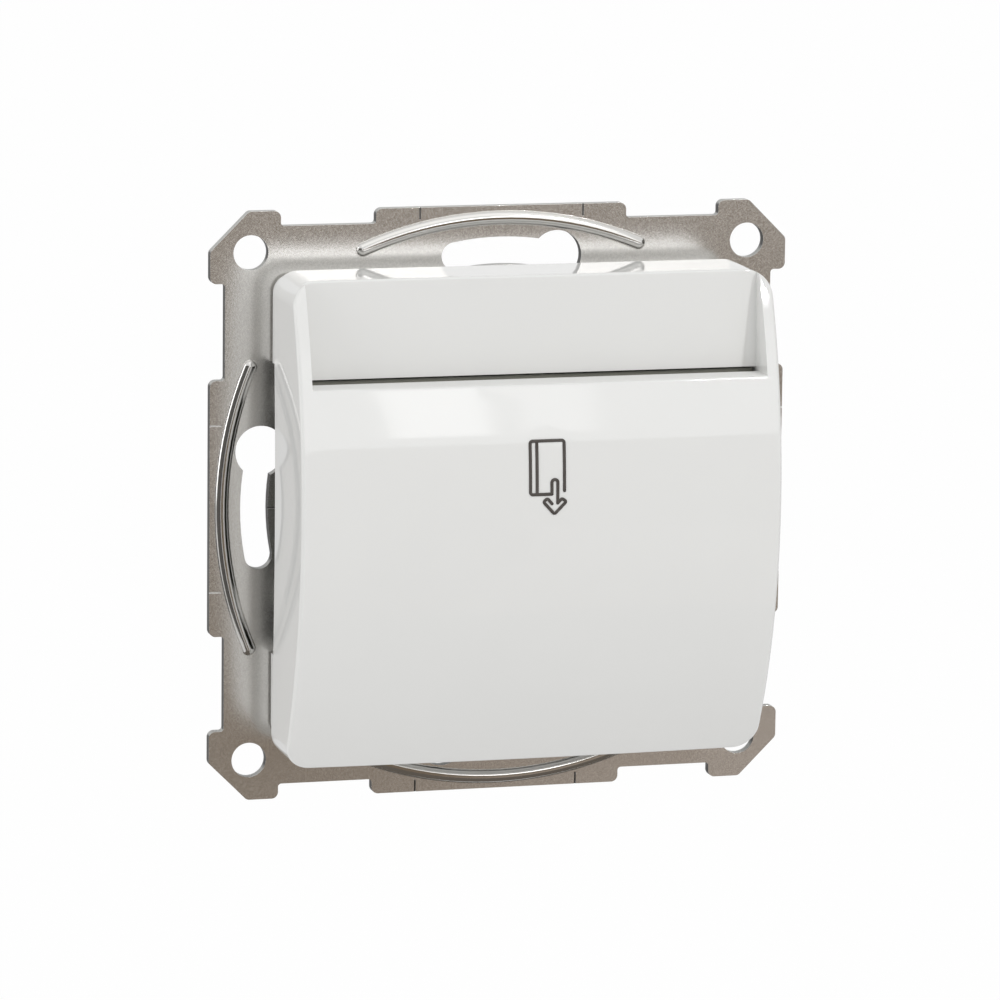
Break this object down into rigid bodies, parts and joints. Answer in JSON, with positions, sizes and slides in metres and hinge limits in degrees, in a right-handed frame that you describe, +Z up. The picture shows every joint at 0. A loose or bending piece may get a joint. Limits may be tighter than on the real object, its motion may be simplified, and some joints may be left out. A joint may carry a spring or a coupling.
{
  "type": "hotel key card switch",
  "caption": "Wall-mounted key card switch: square bulged cover with a card pocket at the top, on a square steel support frame with a switch housing behind.",
  "frame": {"origin": "centre of the support frame's back face, which lies on the wall, midway between the four corner holes", "axes": "+X to the right as seen from the front, +Y into the wall, +Z up, so the card goes in from above along -Z"},
  "size_m": [0.071, 0.0464, 0.071],
  "materials": {
    "frame_steel": "satin, bead blasted, with polished ribs",
    "white_plastic": "semi-gloss",
    "symbol_print": "matt ink",
    "carrier_plastic": "semi-gloss",
    "guide_plastic": "matt",
    "slider_plastic": "matt",
    "plunger_plastic": "matt",
    "lid_plastic": "matt",
    "housing_plastic": "matt",
    "screw_steel": "zinc plated",
    "terminal_steel": "zinc plated, yellow passivated",
    "spring_steel": "bright drawn wire",
    "contact_brass": "rolled strip",
    "contact_silver": "dull silver alloy"
  },
  "bodies": {
    "body": {"support_frame": "frame_steel", "card_cover": "white_plastic", "card_symbol": "symbol_print", "cover_carrier": "carrier_plastic", "card_guide": "guide_plastic", "guide_screws": "screw_steel", "carrier_screws": "screw_steel", "housing_lid": "lid_plastic", "lid_screws": "screw_steel", "base_housing": "housing_plastic", "arm_pin": "screw_steel", "fixed_contact": "contact_silver", "common_strip": "contact_brass", "load_strip": "contact_brass", "return_spring": "spring_steel"},
    "slider": {"card_slider": "slider_plastic"},
    "plunger": {"plunger": "plunger_plastic"},
    "arm": {"contact_arm": "contact_brass", "moving_contact": "contact_silver"},
    "terminal_1": {"terminal_screw_1": "terminal_steel", "terminal_clamp_1": "terminal_steel"},
    "terminal_2": {"terminal_screw_2": "terminal_steel", "terminal_clamp_2": "terminal_steel"}
  },
  "joints": [
    {"name": "card_press", "type": "slide", "parent": "body", "child": "slider", "axis": [0, 0, -1], "range_m": [0, 0.005], "stiffness_N_per_m": 150, "springref_m": -0.004, "deforming": ["return_spring"]},
    {"name": "plunger_slide", "type": "slide", "parent": "body", "child": "plunger", "axis": [0, 1, 0], "range_m": [0, 0.002]},
    {"name": "arm_hinge", "type": "hinge", "parent": "body", "child": "arm", "pos_m": [0, 0.004, 0.008], "axis": [1, 0, 0], "range_deg": [0, 7.2]},
    {"name": "terminal_1_clamp", "type": "slide", "parent": "body", "child": "terminal_1", "axis": [0, 0, 1], "range_m": [0, 0.0018]},
    {"name": "terminal_2_clamp", "type": "slide", "parent": "body", "child": "terminal_2", "axis": [0, 0, 1], "range_m": [0, 0.0018]}
  ],
  "couplings": [
    {"joint": "plunger_slide", "follows": "card_press", "ratio": 0.4},
    {"joint": "arm_hinge", "follows": "card_press", "rad_per_m": 25.066}
  ]
}
